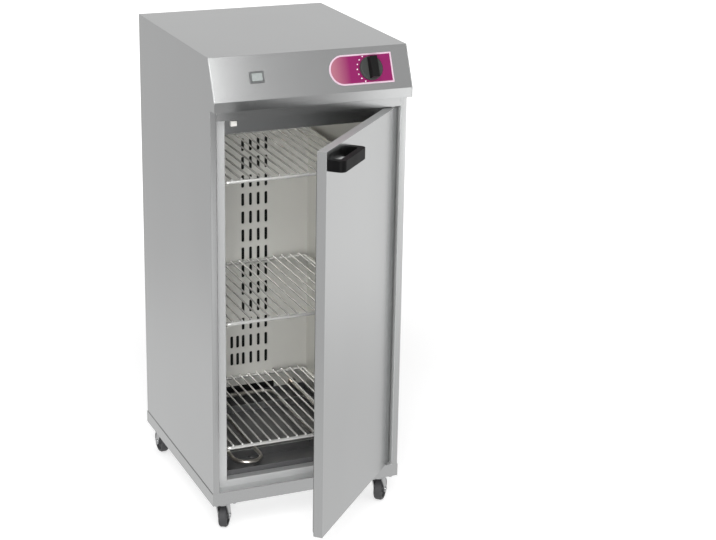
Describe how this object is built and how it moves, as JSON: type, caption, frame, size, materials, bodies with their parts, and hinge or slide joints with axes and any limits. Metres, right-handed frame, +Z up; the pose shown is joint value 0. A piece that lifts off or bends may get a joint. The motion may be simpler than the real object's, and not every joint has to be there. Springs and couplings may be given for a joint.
{
  "type": "hot_cupboard",
  "caption": "Slim stainless hot cupboard on castors with a sloped control hood, an open hinged door, wire shelves and a slotted air panel.",
  "frame": {"origin": "on the floor under the middle of the cabinet", "axes": "+Z up, the front with the door and controls faces -Y, +X is the right side seen from the front"},
  "size_m": [0.4025, 0.7212, 0.97],
  "materials": {
    "casing_steel": "satin stainless sheet",
    "liner_steel": "satin stainless liner",
    "wire_chrome": "bright plated wire",
    "zinc_steel": "zinc plated steel",
    "rod_steel": "bright heating rod sheath",
    "tray_dark": "dark enamel",
    "wool": "mineral wool",
    "seal_rubber": "grey silicone",
    "black_gloss": "black moulded plastic",
    "black_matte": "dark moulded plastic",
    "wheel_dark": "dark wheel rubber",
    "white_plastic": "white moulded plastic",
    "thermostat_case": "cream moulded case",
    "copper": "copper capillary",
    "plate_magenta": "printed magenta field",
    "plate_border": "pale pink border",
    "lamp_clear": "clear lamp lens"
  },
  "bodies": {
    "cabinet": {"base_pan": "casing_steel", "side_panel_left": "casing_steel", "side_panel_right": "casing_steel", "back_panel": "casing_steel", "top_cover": "casing_steel", "frame_post_left": "casing_steel", "frame_post_right": "casing_steel", "frame_rail_top": "casing_steel", "frame_rail_bottom": "casing_steel", "liner_left": "liner_steel", "liner_right": "liner_steel", "liner_back": "liner_steel", "liner_top": "liner_steel", "liner_floor": "liner_steel", "insulation_left": "wool", "insulation_right": "wool", "insulation_back": "wool", "insulation_top": "wool", "control_tray": "casing_steel", "air_panel": "liner_steel", "drip_tray": "tray_dark", "heating_element": "rod_steel", "element_brackets": "zinc_steel", "shelf_runners": "liner_steel", "shelf_bottom": "wire_chrome", "shelf_middle": "wire_chrome", "shelf_top": "wire_chrome", "thermostat_body": "thermostat_case", "thermostat_bulb": "copper", "terminal_block": "white_plastic", "wiring_loom": "black_matte", "pilot_lamp_bezel": "black_matte", "pilot_lamp_lens": "lamp_clear", "control_plate_frame": "plate_border", "control_plate_field": "plate_magenta", "cable_gland": "black_matte", "magnet_catch": "white_plastic", "hinge_pins": "zinc_steel", "panel_screws": "zinc_steel", "castor_plates": "zinc_steel", "castor_bolts": "zinc_steel"},
    "door": {"door_outer_skin": "casing_steel", "door_inner_skin": "liner_steel", "door_insulation": "wool", "door_seal": "seal_rubber", "door_handle": "black_gloss", "handle_screws": "zinc_steel", "hinge_bushes": "white_plastic", "strike_plate": "zinc_steel"},
    "knob": {"control_knob": "black_matte", "thermostat_spindle": "zinc_steel"},
    "fork_body_fl": {"fork_fl": "zinc_steel"},
    "wheel_body_fl": {"wheel_fl": "wheel_dark"},
    "fork_body_fr": {"fork_fr": "zinc_steel"},
    "wheel_body_fr": {"wheel_fr": "wheel_dark"},
    "fork_body_bl": {"fork_bl": "zinc_steel"},
    "wheel_body_bl": {"wheel_bl": "wheel_dark"},
    "fork_body_br": {"fork_br": "zinc_steel"},
    "wheel_body_br": {"wheel_br": "wheel_dark"}
  },
  "joints": [
    {"name": "door_hinge", "type": "hinge", "parent": "cabinet", "child": "door", "pos_m": [0.1715, -0.2165, 0.4745], "axis": [0, 0, 1], "range_deg": [-46, 84]},
    {"name": "knob_turn", "type": "hinge", "parent": "cabinet", "child": "knob", "pos_m": [0.118, -0.2295, 0.9315], "axis": [0, 0.9148, -0.4039], "range_deg": [0, 270]},
    {"name": "castor_swivel_fl", "type": "hinge", "parent": "cabinet", "child": "fork_body_fl", "pos_m": [-0.17, -0.1925, 0.0617], "axis": [0, 0, 1], "continuous": true},
    {"name": "wheel_roll_fl", "type": "hinge", "parent": "fork_body_fl", "child": "wheel_body_fl", "pos_m": [-0.16073, -0.17707, 0.025], "axis": [-0.8572, 0.515, 0], "continuous": true},
    {"name": "castor_swivel_fr", "type": "hinge", "parent": "cabinet", "child": "fork_body_fr", "pos_m": [0.17, -0.1925, 0.0617], "axis": [0, 0, 1], "continuous": true},
    {"name": "wheel_roll_fr", "type": "hinge", "parent": "fork_body_fr", "child": "wheel_body_fr", "pos_m": [0.18157, -0.17871, 0.025], "axis": [-0.766, 0.6428, 0], "continuous": true},
    {"name": "castor_swivel_bl", "type": "hinge", "parent": "cabinet", "child": "fork_body_bl", "pos_m": [-0.17, 0.1925, 0.0617], "axis": [0, 0, 1], "continuous": true},
    {"name": "wheel_roll_bl", "type": "hinge", "parent": "fork_body_bl", "child": "wheel_body_bl", "pos_m": [-0.17063, 0.21049, 0.025], "axis": [-0.9994, -0.0349, 0], "continuous": true},
    {"name": "castor_swivel_br", "type": "hinge", "parent": "cabinet", "child": "fork_body_br", "pos_m": [0.17, 0.1925, 0.0617], "axis": [0, 0, 1], "continuous": true},
    {"name": "wheel_roll_br", "type": "hinge", "parent": "fork_body_br", "child": "wheel_body_br", "pos_m": [0.17954, 0.20777, 0.025], "axis": [-0.848, 0.5299, 0], "continuous": true}
  ]
}
